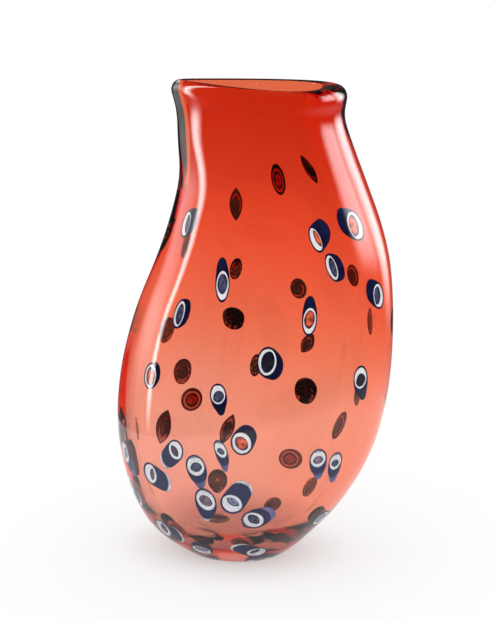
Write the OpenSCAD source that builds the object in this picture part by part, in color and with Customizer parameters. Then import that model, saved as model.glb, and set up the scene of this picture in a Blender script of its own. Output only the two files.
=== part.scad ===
// Hand blown vase: a flattened bottle form in clear glass over a red lining, with slices of
// patterned cane (murrine) sealed between the two glasses. Millimetres, +Z up, X across the wide
// face, origin at the middle of the ground foot.

/* [Body] */
// Height from the ground foot to the crest of the lip
vase_h = 300; // [285:5:315]
// Width of the belly at its widest
belly_w = 176; // [170:2:184]
// Depth of the flattened belly, front to back
belly_d = 112; // [108:2:118]

/* [Lip] */
// How far the lip rounds in at its two narrow ends
lip_round_side = 6; // [5:0.5:7]
// How far the lip rounds in along its two long edges
lip_round_face = 2.4; // [2:0.1:3]
// How far the red lining stops below the crest of the lip
red_below_lip = 1.5; // [1.5:0.5:3]
// Clear glass added at the right-hand corner of the lip
clear_corner = 6; // [5:0.5:7]

/* [Glass walls] */
// Clear glass over the two broad faces
clear_face = 4.5; // [4.4:0.1:5]
// Share of that clear glass left at the lip
clear_lip_share = 0.55; // [0.5:0.05:0.8]
// Clear glass added along the two narrow sides of the belly
clear_side_belly = 3.5; // [3:0.5:4]
// Clear glass added along the two narrow sides of the neck
clear_side_neck = 4.5; // [4:0.5:5]
// Clear glass gathered under the vase, before the foot is ground
clear_bottom = 18; // [17:0.5:19]
// Height over which the gathered bottom thins out into the walls
bottom_fade = 18; // [16:1:20]
// Red lining in the belly
red_belly = 1.6; // [1.4:0.1:1.8]
// Red lining in the neck
red_neck = 3; // [2.6:0.1:3.2]

/* [Murrine] */
// Width of the white ring's outside, as a share of the slice
white_share = 0.84; // [0.8:0.01:0.88]
// Width of the core's outside, as a share of the slice
core_share = 0.56; // [0.5:0.01:0.62]
// Space left between one glass and the next
seam = 0.04; // [0.02:0.01:0.06]

/* [Fineness] */
// Points round each ring of the two blown skins
around = 40; // [32:4:44]
// Rings made between one shaping ring and the next
between = 2; // [1:1:2]
// Sides of a cane slice
cane_sides = 8; // [6:2:8]

/* [Hidden] */
// Shaping rings, from the pole under the foot to the start of the lip:
// height, centre, half width, half depth, fullness of the right end, squareness
SHAPE = [
    [-6.5, 0, 0.5, 0.5, 0, 2],
    [-5.2, 0, 20, 16, 0, 2],
    [2, 0, 35, 31, 0, 2],
    [16, -3, 53.5, 43, 0, 2],
    [40, 0.5, 71, 52, 0, 2],
    [75, 6, 84.5, 56, 0, 2],
    [115, 12, 88, 56, 0, 2],
    [155, 18.5, 84, 50, 0, 2],
    [190, 24.5, 75.5, 43, 0.13, 2.1],
    [215, 25.5, 68, 37, 0.28, 2.2],
    [240, 23.5, 60.5, 31, 0.43, 2.2],
    [262, 18.5, 56.5, 26.5, 0.54, 2.3],
    [280, 15, 54, 24.5, 0.59, 2.3],
    [293, 14, 56.5, 24.5, 0.59, 2.3]
];
// Size of the form that the shaping rings describe
SHAPE_SIZE = [176, 112, 300];

// Cane slices: climb up the wall from the middle of the floor, turn round the vase from its
// right-hand end, width, height, roll, drift of the inner end across and up, thickness
SLICES = [
    // Low on the front, in a crowded band
    [93, 210, 12, 16, 20, 3, -6, 4],
    [71, 206, 12, 14, 10, 3, -6, 5],
    [86, 235, 13, 15, 15, 8, -3, 3],
    [106, 252, 12, 14, 0, -6, -6, 2.8],
    [98, 263, 14, 15, 0, 1, -6, 2.8],
    [116, 283, 14, 16, 0, 2, 3, 2.6],
    [111, 274, 8, 13, 25, 1, -7, 2.6],
    [76, 270, 14, 17, 20, -1, -6, 3.2],
    [75, 284, 15, 15, 0, 5, 7, 3.2],
    [64, 298, 15, 14, 0, 5, 2, 3.6],
    [32, 312, 14, 14, 0, -7, 0, 5],
    [46, 232, 14, 15, 0, 5, -4, 4],
    [60, 350, 12, 14, 0, 0, 0, 4],
    [107, 321, 11, 14, 0, 1, -7, 3.4],
    [104, 332, 9, 14, 0, 1, -8, 3.6],
    // Scattered up the front
    [189, 239, 9, 19, -8, 2, 1, 3],
    [148, 231, 12, 17, -5, 1, 1, 3],
    [210, 259, 10, 21, 0, 0, 7, 2.5],
    [145, 269, 11, 14, 0, 1, -6, 2.6],
    [242, 219, 8, 18, 0, 4, 3, 2.5],
    [243, 309, 7, 17, 22, 4, 5, 2.4],
    [226, 317, 7, 18, 18, 4, 0, 2.4],
    [249, 341, 12, 20, 12, -4, 3, 3],
    [205, 350, 10, 17, 8, -3, 3, 3],
    [193, 305, 9, 19, -5, 0, 6, 2.5],
    [167, 288, 13, 19, -5, 3, -2, 2.5],
    [156, 337, 10, 16, 0, 2, -7, 3],
    // Under the floor
    [11, 165, 15, 15, 0, 0, 2, 4],
    [11, 10, 15, 15, 0, 0, 2, 4],
    [30, 255, 14, 13, 0, 0, 0, 4],
    // Scattered up the back
    [250, 123, 8, 23, 0, 0, 0, 2.4],
    [267, 94, 10, 21, -10, 0, 0, 2.4],
    [278, 65, 9, 22, -28, 0, 0, 2],
    [235, 70, 14, 15, 0, 0, 0, 2.4],
    [204, 120, 8, 16, 10, 0, 0, 2.5],
    [170, 117, 15, 12, 20, 0, -4, 2.6],
    [192, 85, 12, 14, 0, 0, 0, 2.5],
    [223, 164, 8, 18, 0, 0, 0, 3],
    [164, 158, 14, 16, 25, 0, -3, 3],
    [154, 77, 9, 17, 35, 0, 0, 2.6],
    [123, 74, 18, 15, 0, 0, -3, 2.4],
    [132, 141, 13, 16, 15, 0, -2, 3],
    [111, 134, 15, 16, 30, 0, 0, 2.8],
    [135, 102, 8, 16, 10, 0, 0, 2.6],
    [209, 47, 12, 15, 0, 0, 0, 3],
    [182, 25, 10, 18, 0, 0, 0, 3],
    [129, 33, 9, 14, 0, 0, 0, 3],
    // Low on the back
    [96, 154, 12, 22, 28, 0, -2, 3],
    [90, 113, 9, 22, 22, 0, 0, 2.6],
    [74, 71, 20, 14, 0, 0, 0, 3],
    [55, 118, 14, 15, 0, 0, -3, 4],
    [105, 44, 10, 22, 25, 0, 0, 2.8],
    [60, 38, 14, 15, 0, 0, 0, 4],
    [38, 62, 14, 14, 0, 0, 0, 5],
    [102, 193, 9, 17, 0, 0, 0, 3.5]
];

function slice_name(i) = str("murrina_", i < 9 ? "0" : "", i + 1);

// ---- Curves ----

function mix(a, b, t) = a + (b - a) * t;
function ease(x, lo, hi) = let (t = min(1, max(0, (x - lo) / (hi - lo)))) t * t * (3 - 2 * t);

// Smooth curve through p1 and p2, led by their neighbours p0 and p3
function through(p0, p1, p2, p3, t) =
    (2 * p1 + (p2 - p0) * t
        + (2 * p0 - 5 * p1 + 4 * p2 - p3) * t * t
        + (3 * p1 - p0 - 3 * p2 + p3) * t * t * t) / 2;

// A row past either end of the list continues it in a straight line
function row(list, i) =
    let (last = len(list) - 1)
    i < 0 ? 2 * list[0] - list[1] : i > last ? 2 * list[last] - list[last - 1] : list[i];

function slope(list, i) =
    let (last = len(list) - 1) list[min(last, i + 1)] - list[max(0, i - 1)];

// ---- Rings: height, centre, half width, half depth, fullness, squareness ----

sized = [for (r = SHAPE) [
    r[0] * vase_h / SHAPE_SIZE[2],
    r[1] * belly_w / SHAPE_SIZE[0],
    r[2] * belly_w / SHAPE_SIZE[0],
    r[3] * belly_d / SHAPE_SIZE[1],
    r[4],
    r[5]
]];

blown = concat(
    [for (i = [0:len(sized) - 2]) for (k = [0:between - 1])
        through(row(sized, i - 1), row(sized, i), row(sized, i + 1), row(sized, i + 2), k / between)],
    [sized[len(sized) - 1]]
);

// Clear glass is thick underneath and thins into the walls; the narrow sides keep more of it
function clear_on_face(z) =
    clear_face * mix(1, clear_lip_share, ease(z, vase_h * 0.85, vase_h * 0.98))
        + (clear_bottom - clear_face) * exp(-(z - blown[0][0]) / bottom_fade);
function clear_on_side(z) =
    clear_on_face(z)
        + mix(clear_side_belly, clear_side_neck, ease(z, vase_h / 2, vase_h * 0.93))
        * ease(z, blown[0][0], vase_h / 5);
function corner(z) = clear_corner / 2 * ease(z, vase_h * 0.84, vase_h * 0.96);
function red_wall(z) = mix(red_belly, red_neck, ease(z, vase_h * 0.47, vase_h * 0.95));

// Each ring moved in from the blown surface, square to the wall; the egg shape is kept in
// millimetres, so that the wall stays as thick at the full end as at the narrow one.
// Near the lip the ring also moves to the left, to leave a thick clear corner on the right.
function inset(more) = [for (i = [0:len(blown) - 1])
    let (
        r = blown[i],
        d = slope(blown, i),
        radial = (d[2] + d[3]) / 2,
        run = norm([radial, d[0]]),
        out = d[0] / run,
        rise = -radial / run,
        on_face = clear_on_face(r[0]) + more + red_share(more) * red_wall(r[0]),
        on_side = clear_on_side(r[0]) + more + red_share(more) * red_wall(r[0]),
        half_width = max(0.3, r[2] - on_side * out),
        half_depth = max(0.3, r[3] - on_face * out),
        fullness = r[4] * r[3] / half_depth,
        c = corner(r[0])
    )
    [
        r[0] - (on_face + on_side) / 2 * rise,
        r[1] - c,
        half_width - c,
        half_depth * (1 - fullness * c / half_width),
        fullness * (half_width - c) / (half_width - fullness * c),
        r[5]
    ]
];
function red_share(more) = more > seam ? 1 : 0;

casing_inside = inset(0);
lining_outside = inset(seam);
lining_inside = inset(2 * seam);

// Point on a ring at a turn in degrees; a fuller right end makes the ring egg-shaped
function ring_point(r, turn) =
    let (
        c = cos(turn),
        s = sin(turn),
        across = sign(c) * pow(abs(c), 2 / r[5]),
        deep = sign(s) * pow(abs(s), 2 / r[5])
    )
    [r[1] + r[2] * across, r[3] * deep * (1 + r[4] * across), r[0]];

function at_height(r, z) = [z, r[1], r[2], r[3], r[4], r[5]];

// ---- Lip: rounds over from the blown surface, then down to the bore ----

last = len(blown) - 1;
crest = [vase_h, blown[last][1], blown[last][2] - lip_round_side, blown[last][3] - lip_round_face,
    blown[last][4], blown[last][5]];
red_top = vase_h - red_below_lip;
bore_top = at_height(lining_inside[last], red_top);

lip_out = [for (q = [30:30:60])
    let (r = blown[last])
    [r[0] + (vase_h - r[0]) * sin(q), r[1],
        r[2] - lip_round_side * (1 - cos(q)), r[3] - lip_round_face * (1 - cos(q)), r[4], r[5]]];
lip_in = [for (q = [30:30:90])
    [vase_h - red_below_lip * (1 - cos(q)), mix(crest[1], bore_top[1], sin(q)),
        mix(crest[2], bore_top[2], sin(q)), mix(crest[3], bore_top[3], sin(q)),
        mix(crest[4], bore_top[4], sin(q)), crest[5]]];

function below(rings, z) = [for (r = rings) if (r[0] < z - 1) r];
function upside_down(rings) = [for (i = [len(rings) - 1:-1:0]) rings[i]];

// ---- Solids ----

// Closed skin over rings that climb outside and come down inside, flat below the table.
// Squares on both sides are split along the same diagonal, so nested skins never cross.
module skin(climbing, descending) {
    rings = concat(climbing, descending);
    turning = len(climbing) - 1;
    points = [for (r = rings) for (k = [0:around - 1])
        let (p = ring_point(r, k * 360 / around)) [p[0], p[1], max(0, p[2])]];
    top = (len(rings) - 1) * around;
    walls = [for (j = [0:len(rings) - 2]) for (k = [0:around - 1])
        let (
            a = j * around + k,
            b = j * around + (k + 1) % around,
            c = a + around,
            d = b + around
        )
        each j < turning ? [[a, c, b], [b, c, d]] : [[a, c, d], [a, d, b]]];
    polyhedron(
        points = points,
        faces = concat(
            [[for (k = [0:around - 1]) k]],
            walls,
            [[for (k = [around - 1:-1:0]) top + k]]
        )
    );
}

module casing_body() {
    skin(
        concat(blown, lip_out, [crest]),
        concat(
            lip_in,
            [at_height(casing_inside[last], red_top)],
            upside_down(below(casing_inside, red_top))
        )
    );
}

// ---- Cane slices ----

function climbs(i) = i == 0 ? 0 :
    let (a = casing_inside[i - 1], b = casing_inside[i])
    climbs(i - 1) + norm([(b[2] + b[3] - a[2] - a[3]) / 2, b[0] - a[0]]);
climb_table = [for (i = [0:last]) climbs(i)];
function wall_ring(climb) = [for (c = [0:5])
    lookup(climb, [for (i = [0:last]) [climb_table[i], casing_inside[i][c]]])];
function wall_point(climb, turn) = ring_point(wall_ring(climb), turn);
function unit(v) = v / norm(v);

// Small lift that keeps a flat slice clear of the lining where the neck flares in
function lift(climb) = 0.15 + 0.4 * ease(climb, 210, 260);

module on_wall(climb, turn) {
    across = unit(wall_point(climb, turn + 1) - wall_point(climb, turn - 1));
    up_wall = unit(wall_point(climb + 2, turn) - wall_point(climb - 2, turn));
    out = unit(cross(across, up_wall));
    up = cross(out, across);
    p = wall_point(climb, turn) + out * lift(climb);
    multmatrix([
        [across[0], up[0], out[0], p[0]],
        [across[1], up[1], out[1], p[1]],
        [across[2], up[2], out[2], p[2]],
        [0, 0, 0, 1]
    ])
        children();
}

module oval(w, h, z, t) {
    translate([0, 0, z])
        linear_extrude(t)
            polygon([for (k = [0:cane_sides - 1])
                [w / 2 * cos(k * 360 / cane_sides), h / 2 * sin(k * 360 / cane_sides)]]);
}

// Leaning stub of cane: from the inner end, drifted over, to the outer end
module stub(s, share, from, to, grow = 0) {
    skin_t = 0.01;
    w = s[2] * share + 2 * grow;
    h = s[3] * share + 2 * grow;
    function shift(z) = [s[5], s[6], 0] * (1 - z / s[7]);
    hull() {
        translate(shift(from))
            rotate(s[4])
                oval(w, h, from, skin_t);
        translate(shift(to))
            rotate(s[4])
                oval(w, h, to - skin_t, skin_t);
    }
}

module sheath(i) {
    s = SLICES[i];
    color("midnightblue")
        on_wall(s[0], s[1])
            difference() {
                stub(s, 1, 0, s[7]);
                stub(s, white_share, -1, s[7] + 1, seam);
            }
}

module white_ring(i) {
    s = SLICES[i];
    on_wall(s[0], s[1])
        difference() {
            stub(s, white_share, 0, s[7]);
            stub(s, core_share, -1, s[7] + 1, seam);
        }
}

module core(i) {
    s = SLICES[i];
    on_wall(s[0], s[1])
        stub(s, core_share, 0, s[7]);
}

// Recess that a slice fills, open toward the lining
module recess(i) {
    s = SLICES[i];
    on_wall(s[0], s[1])
        hull() {
            stub(s, 1, 0, s[7] + seam, seam);
            translate([s[5], s[6], 0])
                rotate(s[4])
                    oval(s[2] + 2 * seam, s[3] + 2 * seam, -1, 0.01);
        }
}

module clear_casing() {
    color("gainsboro", 0.35)
        difference() {
            casing_body();
            for (i = [0:len(SLICES) - 1]) recess(i);
        }
}

module red_lining() {
    color("firebrick", 0.8)
        skin(
            concat(
                below(lining_outside, red_top),
                [at_height(lining_outside[last], red_top - seam)]
            ),
            concat(
                [at_height(lining_inside[last], red_top - seam)],
                upside_down(below(lining_inside, red_top))
            )
        );
}

module white_rings() {
    color("white")
        for (i = [0:len(SLICES) - 1]) white_ring(i);
}

module murrina_cores() {
    color("slateblue")
        for (i = [0:len(SLICES) - 1]) core(i);
}

clear_casing();
red_lining();
white_rings();
murrina_cores();
for (i = [0:len(SLICES) - 1])
    sheath(i);
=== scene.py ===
import math

import bmesh
import bpy
from mathutils import Matrix, Vector


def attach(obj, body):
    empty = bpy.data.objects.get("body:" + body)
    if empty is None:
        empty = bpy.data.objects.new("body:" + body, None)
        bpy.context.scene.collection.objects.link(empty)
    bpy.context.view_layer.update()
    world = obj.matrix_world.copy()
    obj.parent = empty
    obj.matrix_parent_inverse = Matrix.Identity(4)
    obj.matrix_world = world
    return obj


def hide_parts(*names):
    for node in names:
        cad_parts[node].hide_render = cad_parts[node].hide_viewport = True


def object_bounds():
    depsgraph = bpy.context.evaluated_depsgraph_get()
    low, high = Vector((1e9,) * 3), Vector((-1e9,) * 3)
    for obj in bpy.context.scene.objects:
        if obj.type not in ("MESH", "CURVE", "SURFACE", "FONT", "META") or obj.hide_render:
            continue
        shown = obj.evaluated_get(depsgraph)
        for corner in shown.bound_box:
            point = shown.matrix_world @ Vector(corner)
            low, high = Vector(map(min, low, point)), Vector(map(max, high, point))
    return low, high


bl_info = {
    "name": "Hand blown murrine vase",
    "version": (1, 0, 0),
    "blender": (4, 5, 0),
    "location": "View3D > Sidebar > Vase",
    "description": "Dresses a leaning, flattened blown glass vase with sealed-in cane slices",
    "category": "Object",
}

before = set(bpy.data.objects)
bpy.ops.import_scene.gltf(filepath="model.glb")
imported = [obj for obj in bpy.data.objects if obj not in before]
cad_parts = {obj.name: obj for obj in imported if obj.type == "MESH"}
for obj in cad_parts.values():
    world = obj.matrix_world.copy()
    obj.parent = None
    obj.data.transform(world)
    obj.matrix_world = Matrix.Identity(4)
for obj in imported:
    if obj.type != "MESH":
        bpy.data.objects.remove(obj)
CAD_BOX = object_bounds()
CAD_SIZE = CAD_BOX[1] - CAD_BOX[0]
BODY = "root"
MM = 0.001

# ---- The blown form, in millimetres ----

# Shaping rings, from the pole under the foot to the start of the lip:
# height, centre, half width, half depth, fullness of the right end, squareness
FORM = (
    (-6.5, 0, 0.5, 0.5, 0, 2),
    (-5.2, 0, 20, 16, 0, 2),
    (2, 0, 35, 31, 0, 2),
    (16, -3, 53.5, 43, 0, 2),
    (40, 0.5, 71, 52, 0, 2),
    (75, 6, 84.5, 56, 0, 2),
    (115, 12, 88, 56, 0, 2),
    (155, 18.5, 84, 50, 0, 2),
    (190, 24.5, 75.5, 43, 0.13, 2.1),
    (215, 25.5, 68, 37, 0.28, 2.2),
    (240, 23.5, 60.5, 31, 0.43, 2.2),
    (262, 18.5, 56.5, 26.5, 0.54, 2.3),
    (280, 15, 54, 24.5, 0.59, 2.3),
    (293, 14, 56.5, 24.5, 0.59, 2.3),
)
FORM_HEIGHT = 300
# Taken off the half widths, so that the finer curve stays inside the coarse one's outline
SLACK = 0.06
BETWEEN = 4
AROUND = 64

# Cane slices: climb up the wall from the middle of the floor, turn round the vase from its
# right-hand end, width, height, roll, drift of the inner end across and up, thickness,
# then how far the inner end narrows, its colour, and the colour of the core, which for
# some slices is painted light or shade seen through a clear core
SLICES = (
    (93, 210, 12, 16, 20, 3, -6, 4, 0.8, "lilac", "pale"),
    (71, 206, 12, 14, 10, 3, -6, 5, 0.9, "white", "pale"),
    (86, 235, 13, 15, 15, 8, -3, 3, 0.9, "white", "mauve"),
    (106, 252, 12, 14, 0, -6, -6, 2.8, 0.9, "white", "plum"),
    (98, 263, 14, 15, 0, 1, -6, 2.8, 0.5, "lilac", "slate"),
    (116, 283, 14, 16, 0, 2, 3, 2.6, 0.9, "navy", "painted_light_coral"),
    (111, 274, 8, 13, 25, 1, -7, 2.6, 0.5, "lilac", "slate"),
    (76, 270, 14, 17, 20, -1, -6, 3.2, 0.5, "white", "mauve"),
    (75, 284, 15, 15, 0, 5, 7, 3.2, 0.9, "white", "pale"),
    (64, 298, 15, 14, 0, 5, 2, 3.6, 0.8, "lilac", "slate"),
    (32, 312, 14, 14, 0, -7, 0, 5, 0.9, "white", "slate"),
    (46, 232, 14, 15, 0, 5, -4, 4, 0.9, "white", "slate"),
    (60, 350, 12, 14, 0, 0, 0, 4, 0.9, "navy", "pale"),
    (107, 321, 11, 14, 0, 1, -7, 3.4, 0.5, "lilac", "mauve"),
    (104, 332, 9, 14, 0, 1, -8, 3.6, 0.5, "lilac", "slate"),
    (189, 239, 9, 19, -8, 2, 1, 3, 0.9, "navy", "slate"),
    (148, 231, 12, 17, -5, 1, 1, 3, 0.9, "navy", "painted_light_coral"),
    (210, 259, 10, 21, 7, -2, 7, 2.5, 0.8, "navy", "slate"),
    (145, 269, 11, 14, 0, 1, -6, 2.6, 0.5, "navy", "slate"),
    (242, 219, 8, 18, 0, 4, 3, 2.5, 0.9, "navy", "slate"),
    (243, 309, 7, 17, 22, 4, 5, 2.4, 0.9, "navy", "painted_light_coral"),
    (226, 317, 7, 18, 18, 4, 0, 2.4, 0.9, "navy", "slate"),
    (249, 341, 12, 20, 12, -4, 3, 3, 0.9, "navy", "painted_light_coral"),
    (205, 350, 10, 17, 8, -3, 3, 3, 0.9, "navy", "slate"),
    (193, 305, 9, 19, -5, 0, 6, 2.5, 0.8, "navy", "painted_light_coral"),
    (167, 288, 13, 19, -5, 3, -2, 2.5, 0.9, "navy", "painted_shade_black"),
    (156, 337, 10, 16, 0, 2, -7, 3, 0.5, "navy", "painted_shade_black"),
    (11, 165, 15, 15, 0, 0, 2, 4, 0.9, "navy", "slate"),
    (11, 10, 15, 15, 0, 0, 2, 4, 0.9, "navy", "slate"),
    (30, 255, 14, 13, 0, 0, 0, 4, 0.9, "navy", "pale"),
    (250, 123, 8, 23, 0, 0, 0, 2.4, 0.9, "navy", "slate"),
    (267, 94, 10, 21, -10, 0, 0, 2.4, 0.9, "navy", "painted_light_coral"),
    (278, 65, 9, 22, -28, 0, 0, 2, 0.9, "navy", "slate"),
    (235, 70, 14, 15, 0, 0, 0, 2.4, 0.9, "navy", "mauve"),
    (204, 120, 8, 16, 10, 0, 0, 2.5, 0.9, "navy", "painted_light_coral"),
    (170, 117, 15, 12, 20, 0, -4, 2.6, 0.9, "navy", "pale"),
    (192, 85, 12, 14, 0, 0, 0, 2.5, 0.9, "navy", "slate"),
    (223, 164, 8, 18, 0, 0, 0, 3, 0.9, "navy", "slate"),
    (164, 158, 14, 16, 25, 0, -3, 3, 0.8, "maroon", "mauve"),
    (154, 77, 9, 17, 35, 0, 0, 2.6, 0.9, "navy", "slate"),
    (123, 74, 18, 15, 0, 0, -3, 2.4, 0.9, "navy", "plum"),
    (132, 141, 13, 16, 15, 0, -2, 3, 0.9, "maroon", "slate"),
    (111, 134, 15, 16, 30, 0, 0, 2.8, 0.9, "maroon", "painted_light_coral"),
    (135, 102, 8, 16, 10, 0, 0, 2.6, 0.9, "navy", "pale"),
    (209, 47, 12, 15, 0, 0, 0, 3, 0.9, "maroon", "slate"),
    (182, 25, 10, 18, 0, 0, 0, 3, 0.9, "maroon", "mauve"),
    (129, 33, 9, 14, 0, 0, 0, 3, 0.9, "maroon", "slate"),
    (96, 154, 12, 22, 28, 0, -2, 3, 0.9, "maroon", "pale"),
    (90, 113, 9, 22, 22, 0, 0, 2.6, 0.9, "maroon", "slate"),
    (74, 71, 20, 14, 0, 0, 0, 3, 0.9, "maroon", "painted_light_coral"),
    (55, 118, 14, 15, 0, 0, -3, 4, 0.6, "maroon", "mauve"),
    (105, 44, 10, 22, 25, 0, 0, 2.8, 0.9, "maroon", "slate"),
    (60, 38, 14, 15, 0, 0, 0, 4, 0.9, "maroon", "pale"),
    (38, 62, 14, 14, 0, 0, 0, 5, 0.9, "maroon", "plum"),
    (102, 193, 9, 17, 0, 0, 0, 3.5, 0.9, "maroon", "slate"),
)
# Two core tints are painted light: coral stands in for the lit red lining seen through a clear core,
# black for the shade seen through it
CORE_TINTS = {
    "pale": (0.25, 0.27, 0.46),
    "mauve": (0.19, 0.13, 0.20),
    "plum": (0.085, 0.05, 0.09),
    "slate": (0.06, 0.065, 0.13),
    "painted_shade_black": (0.015, 0.012, 0.022),
    "painted_light_coral": (0.62, 0.10, 0.045),
}
TAIL_TINTS = {
    "navy": (0.012, 0.013, 0.045),
    "lilac": (0.13, 0.14, 0.33),
    "white": (0.62, 0.66, 0.70),
    "maroon": (0.12, 0.035, 0.045),
}
# How far up from the inner end that colour reaches, as a share of the thickness
TAIL_BANDS = {"navy": 0.0, "lilac": 0.5, "white": 0.24, "maroon": 0.4}


# ---- Sizes and colours that a user would change ----


def length(name, description, millimetres):
    return bpy.props.FloatProperty(
        name=name,
        description=description,
        default=millimetres * MM,
        min=0,
        unit="LENGTH",
        subtype="DISTANCE",
        precision=4,
    )


def share(name, description, default):
    return bpy.props.FloatProperty(
        name=name, description=description, default=default, min=0, max=1, subtype="FACTOR"
    )


def number(name, description, default):
    return bpy.props.FloatProperty(name=name, description=description, default=default, min=0)


def colour(name, description, default):
    return bpy.props.FloatVectorProperty(
        name=name, description=description, default=default, size=3, min=0, max=1, subtype="COLOR"
    )


class GlassSizes(bpy.types.PropertyGroup):
    """Walls of the two glasses and the shape of the lip"""

    height: length("Height", "From the ground foot to the crest of the lip", CAD_SIZE.z / MM)
    lip_side: length("Lip, narrow ends", "How far the lip rounds in at its narrow ends", 6)
    lip_face: length("Lip, long edges", "How far the lip rounds in along its long edges", 2.4)
    red_below_lip: length("Red below lip", "How far the lining stops below the crest", 1.5)
    clear_corner: length("Clear, corner", "Clear glass added at the right corner of the lip", 6)
    clear_face: length("Clear, faces", "Clear glass over the two broad faces", 4.5)
    clear_lip_share: share("Clear at lip", "Share of that glass left at the lip", 0.55)
    clear_side_belly: length("Clear, belly sides", "Clear glass added along the belly", 3.5)
    clear_side_neck: length("Clear, neck sides", "Clear glass added along the neck", 4.5)
    clear_bottom: length("Clear, bottom", "Clear glass gathered under the vase", 18)
    bottom_fade: length("Bottom fade", "Height over which the bottom thins out", 18)
    red_belly: length("Red, belly", "Red lining in the belly", 1.6)
    red_neck: length("Red, neck", "Red lining in the neck", 3)
    seam: length("Seam", "Space left between one glass and the next", 0.04)
    foot_bevel: length("Foot edge", "Worn edge of the ground foot", 0.5)


class CaneSizes(bpy.types.PropertyGroup):
    """Proportions of a cane slice"""

    white_share: share("White ring", "Outside of the white ring, as a share of the slice", 0.86)
    hole_share: share("Core", "Outside of the core, as a share of the slice", 0.66)
    wide_hole_share: share("Wide core", "The same for the slices with a thin white ring", 0.73)
    hole_shift: share("Core off centre", "How far the core sits from the middle", 0.11)
    core_depth: share("Core depth", "How deep the core lies in the ring", 0.34)


class GlassColours(bpy.types.PropertyGroup):
    """Colours of the glasses"""

    clear: colour("Clear glass", "Colour of the casing", (0.985, 0.992, 0.99))
    red: colour("Red glass", "Colour that the lining lets through", (0.995, 0.44, 0.26))
    red_density: number("Red density", "How strongly the lining absorbs", 100)
    # Painted shade: the lining's tint over the foot is darker and duller, standing in for shade at
    # the bottom
    shaded_bottom_red: colour("Bottom", "Tint of the lining over the foot", (0.70, 0.44, 0.42))
    belly_red: colour("Belly", "Tint of the lining in the belly", (0.99, 0.648, 0.558))
    middle_red: colour("Middle", "Tint of the lining half way up", (0.977, 0.482, 0.362))
    shoulder_red: colour("Shoulder", "Tint of the lining in the shoulder", (0.955, 0.345, 0.225))
    throat_red: colour("Throat", "Tint of the lining where the neck begins", (0.864, 0.255, 0.146))
    neck_red: colour("Neck", "Tint of the lining in the neck", (0.815, 0.186, 0.088))
    right_red: colour("Right side", "Extra tint toward the right-hand side", (1.0, 0.905, 0.84))
    white: colour("White glass", "Opaque white of the rings", (0.94, 0.97, 1.0))
    navy: colour("Navy glass", "Dense blue around each slice", (0.005, 0.007, 0.045))
    thin_navy: colour("Thin navy", "Blue of the slices with a coloured tail", (0.013, 0.019, 0.088))


class StudioLook(bpy.types.PropertyGroup):
    """Floor, light and camera"""

    floor: colour("Floor", "Colour of the table", (0.245, 0.243, 0.246))
    glow: share("Table glow", "Light that the table gives by itself", 0.57)
    # Painted shadow: the colour of the vase's shadow, painted on the table round the foot
    painted_foot_shadow: colour("Under the vase", "Shade of the table round the foot", (0.82, 0.75, 0.75))
    room: number("Dark room", "Brightness of the room in reflections", 0.05)
    card: number("Dark card", "Brightness of the dark card", 0.12)
    soft_light: number("Soft light", "Brightness of the tent on matt surfaces", 1.9)
    camera_turn: bpy.props.FloatProperty(
        name="Camera turn",
        description="Turn of the camera round the vase",
        default=math.radians(22),
        subtype="ANGLE",
    )
    camera_rise: bpy.props.FloatProperty(
        name="Camera rise",
        description="Height of the camera above the horizon",
        default=math.radians(14),
        subtype="ANGLE",
    )
    camera_distance: bpy.props.FloatProperty(
        name="Camera distance",
        description="From the camera to the middle of the vase",
        default=1.35,
        unit="LENGTH",
    )
    lens: bpy.props.FloatProperty(
        name="Lens", description="Focal length", default=125.2, subtype="DISTANCE_CAMERA"
    )


# ---- Curves of the blown form ----


def mix(a, b, t):
    return a + (b - a) * t


def ease(x, low, high):
    t = min(1, max(0, (x - low) / (high - low)))
    return t * t * (3 - 2 * t)


def blown_rings(height):
    """Smooth curve through the shaping rings, with straight-line rows past both ends"""
    rows = [list(r) for r in FORM]
    for r in rows:
        r[0] *= height / MM / FORM_HEIGHT
    rows.insert(0, [2 * a - b for a, b in zip(rows[0], rows[1])])
    rows.append([2 * a - b for a, b in zip(rows[-1], rows[-2])])
    rings = []
    for i in range(1, len(rows) - 2):
        for k in range(BETWEEN):
            t = k / BETWEEN
            rings.append([
                (2 * b + (c - a) * t + (2 * a - 5 * b + 4 * c - d) * t * t
                 + (3 * b - a - 3 * c + d) * t ** 3) / 2
                for a, b, c, d in zip(*rows[i - 1:i + 3])
            ])
    rings.append(rows[-2])
    for r in rings:
        r[2] -= SLACK
    return rings


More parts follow.
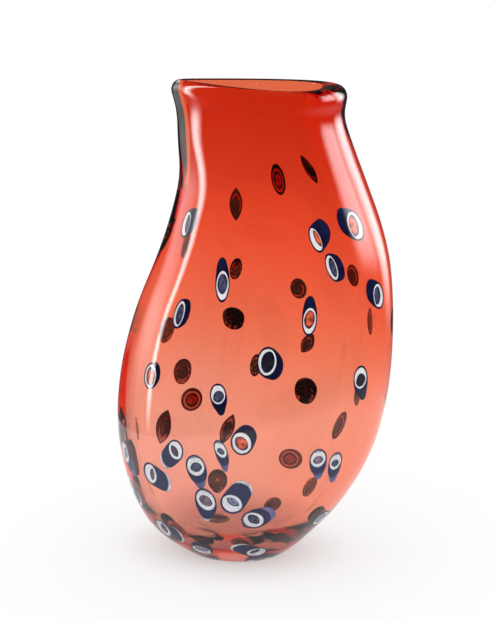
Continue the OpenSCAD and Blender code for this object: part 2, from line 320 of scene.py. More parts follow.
class Walls:
    """Rings of the casing and the lining, each moved in square to the wall"""

    def __init__(self, sizes):
        self.s = sizes
        self.top = sizes.height / MM
        self.seam = sizes.seam / MM
        self.blown = blown_rings(sizes.height)
        self.casing_inside = self.inset(0, False)
        self.lining_outside = self.inset(self.seam, False)
        self.lining_inside = self.inset(2 * self.seam, True)
        self.bore = self.inset(3 * self.seam, True)
        self.red_top = self.top - sizes.red_below_lip / MM

    def clear_on_face(self, z):
        s = self.s
        face = s.clear_face * mix(1, s.clear_lip_share, ease(z, self.top * 0.85, self.top * 0.98))
        bottom = (s.clear_bottom - s.clear_face) * math.exp(-(z - FORM[0][0]) * MM / s.bottom_fade)
        return (face + bottom) / MM

    def clear_on_side(self, z):
        s = self.s
        added = mix(s.clear_side_belly, s.clear_side_neck, ease(z, self.top / 2, self.top * 0.93))
        return self.clear_on_face(z) + added / MM * ease(z, FORM[0][0], self.top / 5)

    def clear_corner(self, z):
        """Shift to the left that leaves a thick clear corner at the right end of the lip"""
        return self.s.clear_corner / MM / 2 * ease(z, self.top * 0.84, self.top * 0.96)

    def red_wall(self, z):
        t = ease(z, self.top * 0.47, self.top * 0.95)
        return mix(self.s.red_belly, self.s.red_neck, t) / MM

    def inset(self, more, through_red):
        rings = []
        last = len(self.blown) - 1
        for i, (z, centre, a, b, egg, square) in enumerate(self.blown):
            before, after = self.blown[max(0, i - 1)], self.blown[min(last, i + 1)]
            radial = (after[2] + after[3] - before[2] - before[3]) / 2
            run = math.hypot(radial, after[0] - before[0])
            out, rise = (after[0] - before[0]) / run, -radial / run
            extra = more + (self.red_wall(z) if through_red else 0)
            on_face = self.clear_on_face(z) + extra
            on_side = self.clear_on_side(z) + extra
            width = max(0.3, a - on_side * out)
            depth = max(0.3, b - on_face * out)
            full = egg * b / depth
            corner = self.clear_corner(z)
            rings.append([
                z - (on_face + on_side) / 2 * rise,
                centre - corner,
                width - corner,
                depth * (1 - full * corner / width),
                full * (width - corner) / (width - full * corner),
                square,
            ])
        return rings

    def crest(self):
        z, centre, a, b, egg, square = self.blown[-1]
        return [self.top, centre, a - self.s.lip_side / MM, b - self.s.lip_face / MM, egg, square]

    def lip_out(self):
        """Quarter round from the last blown ring up to the crest"""
        z, centre, a, b, egg, square = self.blown[-1]
        side, face = self.s.lip_side / MM, self.s.lip_face / MM
        rings = []
        for step in range(1, LIP_STEPS):
            q = math.pi / 2 * step / LIP_STEPS
            fall = 1 - math.cos(q)
            rings.append([
                z + (self.top - z) * math.sin(q), centre,
                a - side * fall, b - face * fall, egg, square,
            ])
        return rings

    def lip_in(self):
        """Quarter round from the crest down to the bore"""
        crest, bore = self.crest(), self.bore[-1]
        rings = []
        for step in range(1, LIP_STEPS + 1):
            q = math.pi / 2 * step / LIP_STEPS
            rings.append([
                self.top - (self.top - self.red_top) * (1 - math.cos(q)),
                *[mix(crest[i], bore[i], math.sin(q)) for i in range(1, 5)],
                crest[5],
            ])
        return rings


LIP_STEPS = 5


def at_height(ring, z):
    return [z, *ring[1:]]


def below(rings, z):
    return [r for r in rings if r[0] < z - 1]


def ring_point(ring, turn):
    """Point on a ring at a turn in radians; a fuller right end makes the ring egg-shaped"""
    z, centre, a, b, egg, square = ring
    c, s = math.cos(turn), math.sin(turn)
    across = math.copysign(abs(c) ** (2 / square), c)
    deep = math.copysign(abs(s) ** (2 / square), s)
    return Vector((centre + a * across, b * deep * (1 + egg * across), z)) * MM


# ---- Modelling ----


def only(piece):
    bpy.ops.object.select_all(action="DESELECT")
    piece.select_set(True)
    bpy.context.view_layer.objects.active = piece


def apply(piece, modifier):
    only(piece)
    bpy.ops.object.modifier_apply(modifier=modifier.name)


def skin(name, climbing, descending, sharp):
    """Closed skin drawn out ring by ring: up the outside, over, and down the inside"""
    bpy.ops.object.select_all(action="DESELECT")
    bpy.ops.mesh.primitive_circle_add(vertices=AROUND, radius=1, fill_type="NGON")
    piece = bpy.context.object
    piece.name = piece.data.name = name
    bpy.ops.object.mode_set(mode="EDIT")
    bpy.ops.mesh.select_all(action="SELECT")
    mesh = bmesh.from_edit_mesh(piece.data)
    mesh.verts.layers.float.new("turn")
    mesh.edges.layers.float.new("crease_edge")
    turn = mesh.verts.layers.float["turn"]
    for v in mesh.verts:
        v[turn] = math.atan2(v.co.y, v.co.x)
    for step, ring in enumerate(climbing + descending):
        if step:
            bpy.ops.mesh.extrude_edges_indiv()
        mesh = bmesh.from_edit_mesh(piece.data)
        turn = mesh.verts.layers.float["turn"]
        crease = mesh.edges.layers.float["crease_edge"]
        drawn = [v for v in mesh.verts if v.select]
        for v in drawn:
            v.co = ring_point(ring, v[turn])
        for edge in mesh.edges:
            if edge.select:
                edge[crease] = 1.0 if step in sharp else 0.0
        if step == 0:
            for f in mesh.faces:
                f.select = False
            mesh.select_mode = {"EDGE"}
            for e in mesh.edges:
                e.select = True
        bmesh.update_edit_mesh(piece.data)
        if step == 0:
            bpy.ops.mesh.select_mode(type="EDGE")
    bpy.ops.mesh.edge_face_add()
    bpy.ops.mesh.select_all(action="SELECT")
    bpy.ops.mesh.normals_make_consistent(inside=False)
    bpy.ops.object.mode_set(mode="OBJECT")
    piece.data.attributes.remove(piece.data.attributes["turn"])
    curve = piece.modifiers.new("Blown curve", "SUBSURF")
    curve.levels = curve.render_levels = 1
    apply(piece, curve)
    bpy.ops.object.shade_smooth()
    return piece


def grind_foot(piece, bevel):
    """Grinds the round bottom flat where the vase stands, and eases the new edge"""
    only(piece)
    bpy.ops.object.mode_set(mode="EDIT")
    bpy.ops.mesh.select_all(action="SELECT")
    bpy.ops.mesh.bisect(
        plane_co=(0, 0, 0), plane_no=(0, 0, 1), use_fill=True, clear_inner=True
    )
    bpy.ops.mesh.select_all(action="DESELECT")
    mesh = bmesh.from_edit_mesh(piece.data)
    for e in mesh.edges:
        flat = all(abs(v.co.z) < 1e-6 for v in e.verts)
        if flat and any(f.normal.z > -0.99 for f in e.link_faces):
            e.select = True
    bmesh.update_edit_mesh(piece.data)
    bpy.ops.mesh.bevel(offset=bevel, segments=2, affect="EDGES")
    bpy.ops.mesh.select_all(action="SELECT")
    bpy.ops.mesh.normals_make_consistent(inside=False)
    bpy.ops.object.mode_set(mode="OBJECT")
    bpy.ops.object.shade_smooth_by_angle(angle=math.radians(28))


# ---- Materials ----


def material(name):
    """New material with its Principled shader; returns the material, its nodes and links"""
    made = bpy.data.materials.new(name)
    made.use_nodes = True
    nodes = made.node_tree.nodes
    return made, nodes, made.node_tree.links, nodes["Principled BSDF"]


def put(links, socket, value):
    """Sets a socket to a number or colour, or joins another socket to it"""
    if isinstance(value, bpy.types.NodeSocket):
        links.new(value, socket)
    else:
        socket.default_value = value


def maths(nodes, links, operation, *values):
    """Math node on numbers or sockets; returns its output"""
    node = nodes.new("ShaderNodeMath")
    node.operation = operation
    for socket, value in zip(node.inputs, values):
        put(links, socket, value)
    return node.outputs[0]


def map_range(nodes, links, value, span, result=(0, 1), smooth=False):
    """Map Range node from one span of numbers to another; returns its output"""
    node = nodes.new("ShaderNodeMapRange")
    if smooth:
        node.interpolation_type = "SMOOTHSTEP"
    for name, number in zip(("From Min", "From Max", "To Min", "To Max"), (*span, *result)):
        node.inputs[name].default_value = number
    links.new(value, node.inputs["Value"])
    return node.outputs[0]


# Places of a Mix node's factor, two inputs and result, by the kind of value it mixes
MIX_SOCKETS = {"FLOAT": (0, 2, 3, 0), "RGBA": (0, 6, 7, 2)}


def blend(nodes, links, kind, amount, first, second, how="MIX"):
    """Mix node on values or sockets; returns its output"""
    node = nodes.new("ShaderNodeMix")
    node.data_type = kind
    node.blend_type = how
    *inputs, result = MIX_SOCKETS[kind]
    for number, value in zip(inputs, (amount, first, second)):
        put(links, node.inputs[number], value)
    return node.outputs[result]


def attribute(nodes, name, output="Fac"):
    node = nodes.new("ShaderNodeAttribute")
    node.attribute_name = name
    return node.outputs[output]


def wave_group():
    """Slow waves that breath and gravity leave in blown glass, as a height for a bump"""
    if "Blown wave" in bpy.data.node_groups:
        return bpy.data.node_groups["Blown wave"]
    group = bpy.data.node_groups.new("Blown wave", "ShaderNodeTree")
    group.interface.new_socket("Size", in_out="INPUT", socket_type="NodeSocketFloat")
    group.interface.new_socket("Stretch", in_out="INPUT", socket_type="NodeSocketFloat")
    group.interface.new_socket("Height", in_out="OUTPUT", socket_type="NodeSocketFloat")
    nodes, links = group.nodes, group.links
    inside, outside = nodes.new("NodeGroupInput"), nodes.new("NodeGroupOutput")
    place = nodes.new("ShaderNodeTexCoord")
    stretch = nodes.new("ShaderNodeCombineXYZ")
    stretch.inputs[0].default_value = stretch.inputs[1].default_value = 1
    links.new(inside.outputs["Stretch"], stretch.inputs[2])
    along = nodes.new("ShaderNodeVectorMath")
    along.operation = "MULTIPLY"
    links.new(place.outputs["Object"], along.inputs[0])
    links.new(stretch.outputs[0], along.inputs[1])
    noise = nodes.new("ShaderNodeTexNoise")
    noise.inputs["Detail"].default_value = 1
    links.new(along.outputs[0], noise.inputs["Vector"])
    links.new(inside.outputs["Size"], noise.inputs["Scale"])
    links.new(noise.outputs["Fac"], outside.inputs["Height"])
    return group


def put_wave(nodes, links, shader, size, stretch, strength, distance):
    wave = nodes.new("ShaderNodeGroup")
    wave.node_tree = wave_group()
    wave.inputs["Size"].default_value = size
    wave.inputs["Stretch"].default_value = stretch
    bump = nodes.new("ShaderNodeBump")
    bump.inputs["Strength"].default_value = strength
    bump.inputs["Distance"].default_value = distance
    links.new(wave.outputs["Height"], bump.inputs["Height"])
    links.new(bump.outputs["Normal"], shader.inputs["Normal"])
    return wave


def ramp(nodes, stops):
    made = nodes.new("ShaderNodeValToRGB")
    band = made.color_ramp
    while len(band.elements) < len(stops):
        band.elements.new(0.5)
    for element, (at, value) in zip(band.elements, stops):
        element.position = at
        element.color = (*value, 1) if len(value) == 3 else value
    return made


def glass(shader, tint, ior):
    shader.inputs["Base Color"].default_value = (*tint, 1)
    shader.inputs["Roughness"].default_value = 0
    shader.inputs["IOR"].default_value = ior
    shader.inputs["Transmission Weight"].default_value = 1


def clear_glass(colours):
    """Fire-polished clear glass, with a matt ground foot"""
    made, nodes, links, shader = material("clear glass")
    glass(shader, colours.clear, 1.5)
    put_wave(nodes, links, shader, 22, 0.5, 0.25, 0.0006)
    place = nodes.new("ShaderNodeTexCoord")
    split = nodes.new("ShaderNodeSeparateXYZ")
    links.new(place.outputs["Object"], split.inputs[0])
    foot = map_range(nodes, links, split.outputs["Z"], (0.0002, 0.0006), (0.35, 0))
    links.new(foot, shader.inputs["Roughness"])
    return made


def absorb(made, colours):
    nodes = made.node_tree.nodes
    body = nodes.new("ShaderNodeVolumeAbsorption")
    body.inputs["Color"].default_value = (*colours.red, 1)
    body.inputs["Density"].default_value = colours.red_density
    made.node_tree.links.new(body.outputs[0], nodes["Material Output"].inputs["Volume"])


def red_glass(colours):
    """Red glass of the bore: denser toward the neck, a little uneven, with painted shade darkening it
    over the foot

    Its index of 1 is a device: light then bends only at the surfaces of the clear casing.
    """
    made, nodes, links, shader = material("red glass")
    glass(shader, (1, 1, 1), 1.0)
    place = nodes.new("ShaderNodeTexCoord")
    split = nodes.new("ShaderNodeSeparateXYZ")
    links.new(place.outputs["Object"], split.inputs[0])
    climb = map_range(nodes, links, split.outputs["Z"], (0.01, 0.285))
    # The first stop paints shade over the foot; the rest deepen the red toward the neck
    tint = ramp(nodes, (
        (0, colours.shaded_bottom_red), (0.07, colours.belly_red), (0.33, colours.belly_red),
        (0.51, colours.middle_red), (0.71, colours.shoulder_red), (0.85, colours.throat_red),
        (1, colours.neck_red),
    ))
    links.new(climb, tint.inputs[0])
    streak = nodes.new("ShaderNodeTexNoise")
    streak.inputs["Scale"].default_value = 26
    streak.inputs["Detail"].default_value = 1
    long_way = nodes.new("ShaderNodeVectorMath")
    long_way.operation = "MULTIPLY"
    long_way.inputs[1].default_value = (1, 1, 0.18)
    links.new(place.outputs["Object"], long_way.inputs[0])
    links.new(long_way.outputs[0], streak.inputs["Vector"])
    side = map_range(nodes, links, split.outputs["X"], (-0.03, 0.08))
    uneven = maths(nodes, links, "MULTIPLY_ADD", streak.outputs["Fac"], 1.2, -0.6)
    uneven = maths(nodes, links, "ADD", uneven, side)
    right = blend(nodes, links, "RGBA", uneven, (1, 1, 1, 1), (*colours.right_red, 1))
    both = blend(nodes, links, "RGBA", 1, tint.outputs[0], right, "MULTIPLY")
    links.new(both, shader.inputs["Base Color"])
    absorb(made, colours)
    return made


def mottle(nodes, links, colour_in, shader, size, low, high):
    """Lets a colour drift between a darker and a lighter shade over the glass"""
    place = nodes.new("ShaderNodeTexCoord")
    noise = nodes.new("ShaderNodeTexNoise")
    noise.inputs["Scale"].default_value = size
    links.new(place.outputs["Object"], noise.inputs["Vector"])
    shade = ramp(nodes, ((0.35, (low, low, low)), (0.65, (high, high, high))))
    links.new(noise.outputs["Fac"], shade.inputs[0])
    times = blend(nodes, links, "RGBA", 1, colour_in, shade.outputs[0], "MULTIPLY")
    links.new(times, shader.inputs["Base Color"])


def white_glass(colours):
    """Opaque white glass, a little cloudy"""
    made, nodes, links, shader = material("white glass")
    place = nodes.new("ShaderNodeTexCoord")
    noise = nodes.new("ShaderNodeTexNoise")
    noise.inputs["Scale"].default_value = 350
    links.new(place.outputs["Object"], noise.inputs["Vector"])
    cloud = ramp(nodes, ((0.3, tuple(0.9 * c for c in colours.white)), (0.7, tuple(colours.white))))
    links.new(noise.outputs["Fac"], cloud.inputs[0])
    links.new(cloud.outputs[0], shader.inputs["Base Color"])
    shader.inputs["Roughness"].default_value = 0.5
    shader.inputs["IOR"].default_value = 1.05
    return made


def navy_glass(colours):
    """Dense navy glass that turns to the colour of its tail toward the inner end"""
    made, nodes, links, shader = material("navy glass")
    reach, depth = attribute(nodes, "band"), attribute(nodes, "depth")
    soft = map_range(nodes, links, maths(nodes, links, "SUBTRACT", reach, depth), (0, 0.06))
    thin = attribute(nodes, "thin")
    blue = blend(nodes, links, "RGBA", thin, (*colours.navy, 1), (*colours.thin_navy, 1))
    tint = blend(nodes, links, "RGBA", soft, blue, attribute(nodes, "tail", "Color"))
    mottle(nodes, links, tint, shader, 260, 0.7, 1.35)
    shader.inputs["Roughness"].default_value = 0.45
    shader.inputs["IOR"].default_value = 1.1
    return made


def core_glass(colours):
    """Core of a slice: its tint in the middle, navy round the rim; the coral and black tints are
    painted light and shade, the lit red lining and the shadow seen through a clear core
    """
    made, nodes, links, shader = material("core glass")
    rim = ramp(nodes, ((0.55, (0, 0, 0)), (0.85, (1, 1, 1))))
    links.new(attribute(nodes, "reach"), rim.inputs[0])
    tint = attribute(nodes, "tint", "Color")
    mixed = blend(nodes, links, "RGBA", rim.outputs[0], tint, (*colours.navy, 1))
    mottle(nodes, links, mixed, shader, 420, 0.45, 1.7)
    shader.inputs["Roughness"].default_value = 0.45
    shader.inputs["IOR"].default_value = 1.1
    return made


# ---- Cane slices ----


class Wall:
    """Frames on the seam between the glasses, by climb up the wall and turn round it"""

    def __init__(self, rings):
        self.rings = rings
        self.climbs = [0.0]
        for a, b in zip(rings, rings[1:]):
            step = math.hypot((b[2] + b[3] - a[2] - a[3]) / 2, b[0] - a[0])
            self.climbs.append(self.climbs[-1] + step)

    def point(self, climb, turn):
        last = len(self.climbs) - 1
        i = next((k for k in range(last) if self.climbs[k + 1] >= climb), last - 1)
        t = (climb - self.climbs[i]) / (self.climbs[i + 1] - self.climbs[i])
        ring = [mix(a, b, t) for a, b in zip(self.rings[i], self.rings[i + 1])]
        return ring_point(ring, math.radians(turn))

    def frame(self, climb, turn):
        across = (self.point(climb, turn + 1) - self.point(climb, turn - 1)).normalized()
        up_wall = (self.point(climb + 2, turn) - self.point(climb - 2, turn)).normalized()
        out = across.cross(up_wall).normalized()
        up = out.cross(across)
        lift = (0.15 + 0.4 * ease(climb, 210, 260)) * MM
        at = self.point(climb, turn) + out * lift
        return Matrix.Translation(at) @ Matrix((across, up, out)).transposed().to_4x4()


SIDES = 32
# Profiles of a slice one unit wide and one unit thick: radius and depth, inner end first
SHEATH = ((0.46, 0.0), (0.49, 0.03), (0.5, 0.1), (0.5, 0.2), (0.5, 0.35), (0.5, 0.5),
          (0.5, 0.7), (0.5, 0.9), (0.49, 0.97), (0.475, 1.0))
FLOOR = 0.1
# Slices that the light passes through: their sheaths have no floor
OPEN = (32, 43, 50)
# The slices low on the wall are drawn out further than their solids, up to this climb
LOW_DRIFT = 1.25
LOW_CLIMB = 120
# Slices squeezed to a leaf with two pointed ends, and how sharply
LEAVES = (31, 33, 40, 48, 49)
LEAF = 0.75
# Slices with a wide core and a thin white ring
WIDE = range(16, 28)


def turned(name, profile, closed):
    """Stub of cane drawn out ring by ring from a circle"""
    bpy.ops.object.select_all(action="DESELECT")
    bpy.ops.mesh.primitive_circle_add(
        vertices=SIDES, radius=profile[0][0], fill_type="NOTHING" if closed else "NGON"
    )
    piece = bpy.context.object
    piece.name = piece.data.name = name
    bpy.ops.object.mode_set(mode="EDIT")
    bpy.ops.mesh.select_mode(type="EDGE")
    bpy.ops.mesh.select_all(action="SELECT")
    radius, height = profile[0]
    for new_radius, new_height in profile[1:]:
        bpy.ops.mesh.extrude_edges_indiv()
        bpy.ops.transform.translate(value=(0, 0, new_height - height))
        grow = new_radius / radius
        bpy.ops.transform.resize(value=(grow, grow, 1), center_override=(0, 0, new_height))
        radius, height = new_radius, new_height
    if closed:
        mesh = bmesh.from_edit_mesh(piece.data)
        for e in mesh.edges:
            e.select = len(e.link_faces) == 1
        bmesh.update_edit_mesh(piece.data)
        bpy.ops.mesh.bridge_edge_loops()
    else:
        bpy.ops.mesh.edge_face_add()
    bpy.ops.mesh.select_all(action="SELECT")
    bpy.ops.mesh.normals_make_consistent(inside=False)
    bpy.ops.object.mode_set(mode="OBJECT")
    bpy.ops.object.shade_smooth_by_angle(angle=math.radians(40))
    return piece


def set_attribute(mesh, name, kind, values):
    made = mesh.attributes.new(name, kind, "POINT")
    made.data.foreach_set("color" if kind == "FLOAT_COLOR" else "value", values)


def laid_slice(wall, pattern, row, name, hole=None, shift=0.0, widen=1.0):
    """Copy of a unit stub, leaned, narrowed and laid on the wall; a hole can sit off centre"""
    climb, turn, width, height, roll, across, up, thick, narrow, tail, core = row
    mesh = pattern.data.copy()
    mesh.name = name
    drift = Vector((across, up))
    if climb < LOW_CLIMB:
        across, up = across * LOW_DRIFT, up * LOW_DRIFT
    toward = drift.normalized() if drift.length > 0.5 else Vector((0, 0))
    leaf = int(name.split("_")[1]) in LEAVES
    toward.rotate(Matrix.Rotation(math.radians(-roll), 2))
    spin = Matrix.Rotation(math.radians(roll), 4, "Z")
    frame_here = wall.frame(climb, turn)
    depths, reaches = [], []
    for v in mesh.vertices:
        co = v.co.copy()
        reach = math.hypot(co.x, co.y)
        depths.append(co.z)
        reaches.append(reach)
        if leaf:
            co.x *= (abs(co.x) / reach) ** LEAF
        if hole and reach < hole:
            co.x = co.x * widen - toward.x * shift
            co.y = co.y * widen - toward.y * shift
        taper = mix(narrow, 1, ease(co.z, 0, 0.6))
        local = Vector((co.x * width * taper, co.y * height * taper, 0))
        local = spin @ local
        pull = (1 - taper) * (abs(drift.x) * width + abs(drift.y) * height) / 2
        local += Vector((drift.x, drift.y, 0)).normalized() * pull / max(1, drift.length)
        lean = 1 - co.z
        local += Vector((across * lean, up * lean, co.z * thick))
        v.co = frame_here @ (local * MM)
    set_attribute(mesh, "depth", "FLOAT", depths)
    set_attribute(mesh, "band", "FLOAT", [TAIL_BANDS[tail]] * len(mesh.vertices))
    set_attribute(mesh, "thin", "FLOAT", [float(tail in ("lilac", "white"))] * len(mesh.vertices))
    tints = {"tail": TAIL_TINTS[tail], "tint": CORE_TINTS[core]}
    for key, value in tints.items():
        set_attribute(mesh, key, "FLOAT_COLOR", [*value, 1] * len(mesh.vertices))
    top = max(reaches)
    set_attribute(mesh, "reach", "FLOAT", [r / top for r in reaches])
    piece = bpy.data.objects.new(name, mesh)
    bpy.context.collection.objects.link(piece)
    return piece


def joined(pieces, name):
    bpy.ops.object.select_all(action="DESELECT")
    for p in pieces:
        p.select_set(True)
    bpy.context.view_layer.objects.active = pieces[0]
    bpy.ops.object.join()
    pieces[0].name = pieces[0].data.name = name
    return pieces[0]


def rest_on(piece, node):
    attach(piece, BODY)
    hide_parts(node)


# ---- Operators ----


class VASE_OT_clear_casing(bpy.types.Operator):
    """Blow the clear casing with its lip and ground foot"""

    bl_idname = "vase.clear_casing"
    bl_label = "Clear casing"

    def execute(self, context):
        walls = Walls(context.scene.vase_sizes)
        climbing = walls.blown + walls.lip_out() + [walls.crest()] + walls.lip_in()
        descending = below(walls.bore, walls.red_top)[::-1]
        piece = skin("casing", climbing, descending, ())
        grind_foot(piece, context.scene.vase_sizes.foot_bevel)
        colours = context.scene.vase_colours
        piece.data.materials.append(clear_glass(colours))
        rest_on(piece, "clear_casing")
        return {"FINISHED"}


class VASE_OT_red_lining(bpy.types.Operator):
    """Blow the red lining inside the casing"""

    bl_idname = "vase.red_lining"
    bl_label = "Red lining"

    def execute(self, context):
        walls = Walls(context.scene.vase_sizes)
        top = walls.red_top - walls.seam
        climbing = below(walls.lining_outside, walls.red_top)
        climbing.append(at_height(walls.lining_outside[-1], top))
        climbing.append(at_height(walls.lining_inside[-1], top))
        descending = below(walls.lining_inside, walls.red_top)[::-1]
        turning = len(climbing)
        piece = skin("lining", climbing, descending, (turning - 2, turning - 1))
        colours = context.scene.vase_colours
        piece.data.materials.append(red_glass(colours))
        rest_on(piece, "red_lining")
        return {"FINISHED"}


def core_place(cane, index):
    """Shift off centre and widening of the core of one slice"""
    if index + 1 in WIDE:
        return cane.hole_shift / 2, cane.wide_hole_share / cane.hole_share
    return cane.hole_shift, 1.0


def slice_wall(context):
    return Wall(Walls(context.scene.vase_sizes).casing_inside)


class VASE_OT_cane_sheaths(bpy.types.Operator):
    """Lay the navy sheath of every cane slice on the lining"""

    bl_idname = "vase.cane_sheaths"
    bl_label = "Navy sheaths"

    def execute(self, context):
        wall = slice_wall(context)
        cane = context.scene.vase_cane
        inner = cane.white_share / 2 + 0.003
        tube = turned("open sheath", [(inner, 0), *SHEATH, (inner, 1.0)], True)
        cup = turned("sheath", [*SHEATH, (inner, 1.0), (inner, 0.5), (inner, FLOOR - 0.03)], False)
        navy = navy_glass(context.scene.vase_colours)
        for i, row in enumerate(SLICES):
            node = f"murrina_{i + 1:02d}"
            pattern = tube if i + 1 in OPEN else cup
            piece = laid_slice(wall, pattern, row, f"sheath_{i + 1:02d}")
            piece.data.materials.append(navy)
            rest_on(piece, node)
        bpy.data.objects.remove(tube)
        bpy.data.objects.remove(cup)
        return {"FINISHED"}


class VASE_OT_white_rings(bpy.types.Operator):
    """Lay the white ring inside every sheath"""

    bl_idname = "vase.white_rings"
    bl_label = "White rings"

    def execute(self, context):
        wall = slice_wall(context)
        cane = context.scene.vase_cane
        outer, inner = cane.white_share / 2, cane.hole_share / 2 + 0.003
        profile = ((inner, FLOOR), (outer, FLOOR), (outer, 0.5), (outer, 0.97), (outer - 0.012, 1.02),
                   (inner + 0.012, 1.02), (inner, 0.97), (inner, 0.5))
        pattern = turned("ring pattern", profile, True)
        white = white_glass(context.scene.vase_colours)
        rings = [
            laid_slice(wall, pattern, row, f"ring_{i + 1}", inner + 0.02, *core_place(cane, i))
            for i, row in enumerate(SLICES)
        ]
        piece = joined(rings, "rings")
        piece.data.materials.append(white)
        rest_on(piece, "white_rings")
        bpy.data.objects.remove(pattern)
        return {"FINISHED"}


class VASE_OT_cane_cores(bpy.types.Operator):
    """Set the core into every white ring"""

    bl_idname = "vase.cane_cores"
    bl_label = "Cores"

    def execute(self, context):
        wall = slice_wall(context)
        cane = context.scene.vase_cane
        radius, top = cane.hole_share / 2, 1 - cane.core_depth
        profile = ((radius * 0.5, FLOOR), (radius, FLOOR), (radius, top * 0.5), (radius, top * 0.97),
                   (radius * 0.92, top), (radius * 0.6, top + 0.02), (radius * 0.2, top + 0.03))
        pattern = turned("core pattern", profile, False)
        stuff = core_glass(context.scene.vase_colours)
        cores = [
            laid_slice(wall, pattern, row, f"core_{i + 1}", 1.0, *core_place(cane, i))
            for i, row in enumerate(SLICES)
        ]
        piece = joined(cores, "cores")
        piece.data.materials.append(stuff)
        rest_on(piece, "murrina_cores")
        bpy.data.objects.remove(pattern)
        return {"FINISHED"}


def window(nodes, links, value, low, high, soft):
    """1 between low and high, falling softly to 0 outside"""
    masks = []
    for edge, sign in ((low, 1), (high, -1)):
        span = (edge - soft * sign, edge + soft * sign)
        masks.append(map_range(nodes, links, value, span, smooth=True))
    return maths(nodes, links, "MULTIPLY", *masks)


# Softboxes seen by reflections: turn from straight behind the vase (degrees, + to the right),
# lowest and highest rise, softness of the edges, strength
SOFTBOXES = (
    (-89, -86, -12, 30, 2, 15),
    (-84, -62, -2, 14, 8, 3.5),
    (42, 66, -7, 30, 8, 7),
    (72, 118, 4, 40, 12, 8),
)
# Dark card beside the backdrop, that darkens one edge of the clear glass
CARD = (28, 100, -40, 34, 5)
# The card shows only to light that has crossed fewer surfaces than this: clear glass alone
CARD_DEPTH = 2.5
# Half the turn that stays lit for light mirrored inside the glass, and its softness
LIT_TURN = (95, 15)
# Rises between which reflections brighten below the horizon and the tent darkens overhead
DIP = (-12, -28)
OVERHEAD = (42, 68)
OVERHEAD_LIGHT = 0.3


def studio_world(look):
    """Surroundings that differ for rays from the camera, off the glass, through it and off matt"""
    world = bpy.data.worlds.new("White tent")
    bpy.context.scene.world = world
    world.use_nodes = True
    nodes, links = world.node_tree.nodes, world.node_tree.links
    back = nodes["Background"]
    path = nodes.new("ShaderNodeLightPath")
    place = nodes.new("ShaderNodeTexCoord")
    spin = nodes.new("ShaderNodeVectorRotate")
    spin.rotation_type = "Z_AXIS"
    spin.inputs["Angle"].default_value = -look.camera_turn
    links.new(place.outputs["Generated"], spin.inputs["Vector"])
    split = nodes.new("ShaderNodeSeparateXYZ")
    links.new(spin.outputs[0], split.inputs[0])
    turn = maths(nodes, links, "ARCTAN2", split.outputs["X"], split.outputs["Y"])
    turn = maths(nodes, links, "DEGREES", turn)
    rise = maths(nodes, links, "DEGREES", maths(nodes, links, "ARCSINE", split.outputs["Z"]))

    def patch(left, right, low, high, soft):
        return maths(
            nodes, links, "MULTIPLY",
            window(nodes, links, turn, left, right, soft),
            window(nodes, links, rise, low, high, min(10, soft * 3)),
        )

    boxes = map_range(nodes, links, rise, DIP, (look.room, 1), smooth=True)
    for left, right, low, high, soft, strength in SOFTBOXES:
        lit = patch(left, right, low, high, soft)
        boxes = maths(nodes, links, "MULTIPLY_ADD", lit, strength, boxes)
    clear_only = maths(nodes, links, "LESS_THAN", path.outputs["Transmission Depth"], CARD_DEPTH)
    card = maths(nodes, links, "MULTIPLY", patch(*CARD), clear_only)
    tent = maths(nodes, links, "MULTIPLY_ADD", card, look.card - 1, 1)
    mirrored = maths(nodes, links, "GREATER_THAN", path.outputs["Glossy Depth"], 0.5)
    behind = window(nodes, links, turn, -LIT_TURN[0], *LIT_TURN)
    kept = maths(nodes, links, "MULTIPLY_ADD", behind, 1 - look.room, look.room)
    kept = maths(nodes, links, "SUBTRACT", kept, 1)
    kept = maths(nodes, links, "MULTIPLY_ADD", kept, mirrored, 1)
    tent = maths(nodes, links, "MULTIPLY", tent, kept)
    overhead = map_range(nodes, links, rise, OVERHEAD, (1, OVERHEAD_LIGHT), smooth=True)
    tent = maths(nodes, links, "MULTIPLY", tent, overhead)
    seen = blend(nodes, links, "FLOAT", path.outputs["Is Reflection Ray"], tent, boxes)
    scattered = maths(nodes, links, "GREATER_THAN", path.outputs["Diffuse Depth"], 0.5)
    direct = path.outputs["Is Reflection Ray"]
    direct = maths(nodes, links, "ADD", direct, path.outputs["Is Transmission Ray"])
    matt = maths(nodes, links, "LESS_THAN", direct, 0.5)
    scattered = maths(nodes, links, "MAXIMUM", scattered, matt)
    soft_light = blend(nodes, links, "FLOAT", scattered, seen, look.soft_light)
    shown = blend(nodes, links, "FLOAT", path.outputs["Is Camera Ray"], soft_light, 1)
    back.inputs["Color"].default_value = (1, 1, 1, 1)
    links.new(shown, back.inputs["Strength"])


# Reach of the table, where it starts to fade, and the span of the warm shadow painted round the foot
TABLE_RADIUS = 0.32
TABLE_FADE = 0.12
PAINTED_SHADOW_SPAN = (0.02, 0.08)


def table_top(look):
    """Pale, partly self-lit table that fades out at its rim, with a shade painted round the foot"""
    made, nodes, links, shader = material("pale table")
    shader.inputs["Roughness"].default_value = 0.8
    shader.inputs["Specular IOR Level"].default_value = 0
    place = nodes.new("ShaderNodeTexCoord")
    reach = nodes.new("ShaderNodeVectorMath")
    reach.operation = "LENGTH"
    links.new(place.outputs["Object"], reach.inputs[0])
    far = (TABLE_FADE, TABLE_RADIUS)
    fade = map_range(nodes, links, reach.outputs["Value"], far, smooth=True)
    glow = maths(nodes, links, "MULTIPLY_ADD", fade, 1 - look.glow, look.glow)
    links.new(glow, shader.inputs["Emission Strength"])
    # Painted shadow: the table's glow turns to a warm shade round the foot, in place of the vase's
    # cast shadow
    painted_shadow_mask = map_range(nodes, links, reach.outputs["Value"], PAINTED_SHADOW_SPAN, smooth=True)
    painted_shadow_colour = blend(nodes, links, "RGBA", painted_shadow_mask, (*look.painted_foot_shadow, 1), (1, 1, 1, 1))
    links.new(painted_shadow_colour, shader.inputs["Emission Color"])
    paint = blend(nodes, links, "RGBA", fade, (*look.floor, 1), (0, 0, 0, 1))
    links.new(paint, shader.inputs["Base Color"])
    return made


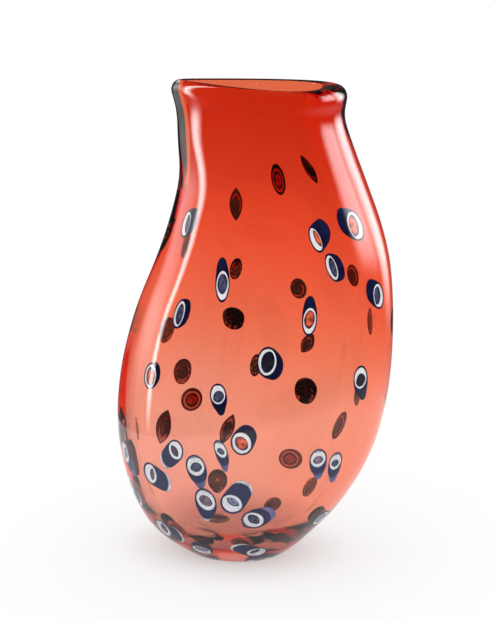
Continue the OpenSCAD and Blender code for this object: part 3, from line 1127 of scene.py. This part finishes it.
class VASE_OT_studio(bpy.types.Operator):
    """Set the floor, the soft light and the camera"""

    bl_idname = "vase.studio"
    bl_label = "Studio"

    def execute(self, context):
        look = context.scene.vase_studio
        scene = context.scene
        bpy.ops.object.select_all(action="DESELECT")
        bpy.ops.mesh.primitive_circle_add(vertices=96, radius=TABLE_RADIUS, fill_type="NGON")
        floor = bpy.context.object
        floor.name = floor.data.name = "floor"
        floor.data.materials.append(table_top(look))
        studio_world(look)
        turn, rise = look.camera_turn, look.camera_rise
        right = Vector((math.cos(turn), math.sin(turn), 0))
        back = Vector((math.sin(turn) * math.cos(rise), -math.cos(turn) * math.cos(rise),
                       math.sin(rise)))
        aim = right * 0.008 + Vector((0, 0, 0.1567))
        data = bpy.data.cameras.new("camera")
        data.lens = look.lens
        data.sensor_width = 36
        data.clip_start, data.clip_end = 0.05, 50
        camera = bpy.data.objects.new("camera", data)
        camera.location = aim + back * look.camera_distance
        camera.rotation_euler = (-back).to_track_quat("-Z", "Y").to_euler()
        scene.collection.objects.link(camera)
        scene.camera = camera
        scene.view_settings.view_transform = "Standard"
        scene.cycles.max_bounces = 24
        scene.cycles.transmission_bounces = 24
        scene.cycles.glossy_bounces = 8
        return {"FINISHED"}


class VASE_PT_panel(bpy.types.Panel):
    """Lists the pieces of the vase and their sizes"""

    bl_idname = "VASE_PT_panel"
    bl_label = "Murrine vase"
    bl_space_type = "VIEW_3D"
    bl_region_type = "UI"
    bl_category = "Vase"

    def draw(self, context):
        scene = context.scene
        for group in (scene.vase_sizes, scene.vase_cane, scene.vase_colours, scene.vase_studio):
            box = self.layout.box()
            for name in group.__annotations__:
                box.prop(group, name)
        for operator in OPERATORS:
            self.layout.operator(operator.bl_idname)


GROUPS = {
    "vase_sizes": GlassSizes,
    "vase_cane": CaneSizes,
    "vase_colours": GlassColours,
    "vase_studio": StudioLook,
}
OPERATORS = (
    VASE_OT_clear_casing,
    VASE_OT_red_lining,
    VASE_OT_cane_sheaths,
    VASE_OT_white_rings,
    VASE_OT_cane_cores,
    VASE_OT_studio,
)


def register():
    for made in (*GROUPS.values(), *OPERATORS, VASE_PT_panel):
        bpy.utils.register_class(made)
    for name, group in GROUPS.items():
        setattr(bpy.types.Scene, name, bpy.props.PointerProperty(type=group))


def unregister():
    for name in GROUPS:
        delattr(bpy.types.Scene, name)
    for made in (VASE_PT_panel, *reversed(OPERATORS), *reversed(list(GROUPS.values()))):
        bpy.utils.unregister_class(made)


def main():
    register()
    bpy.ops.vase.clear_casing()
    bpy.ops.vase.red_lining()
    bpy.ops.vase.cane_sheaths()
    bpy.ops.vase.white_rings()
    bpy.ops.vase.cane_cores()
    bpy.ops.vase.studio()


if __name__ == "__main__":
    main()
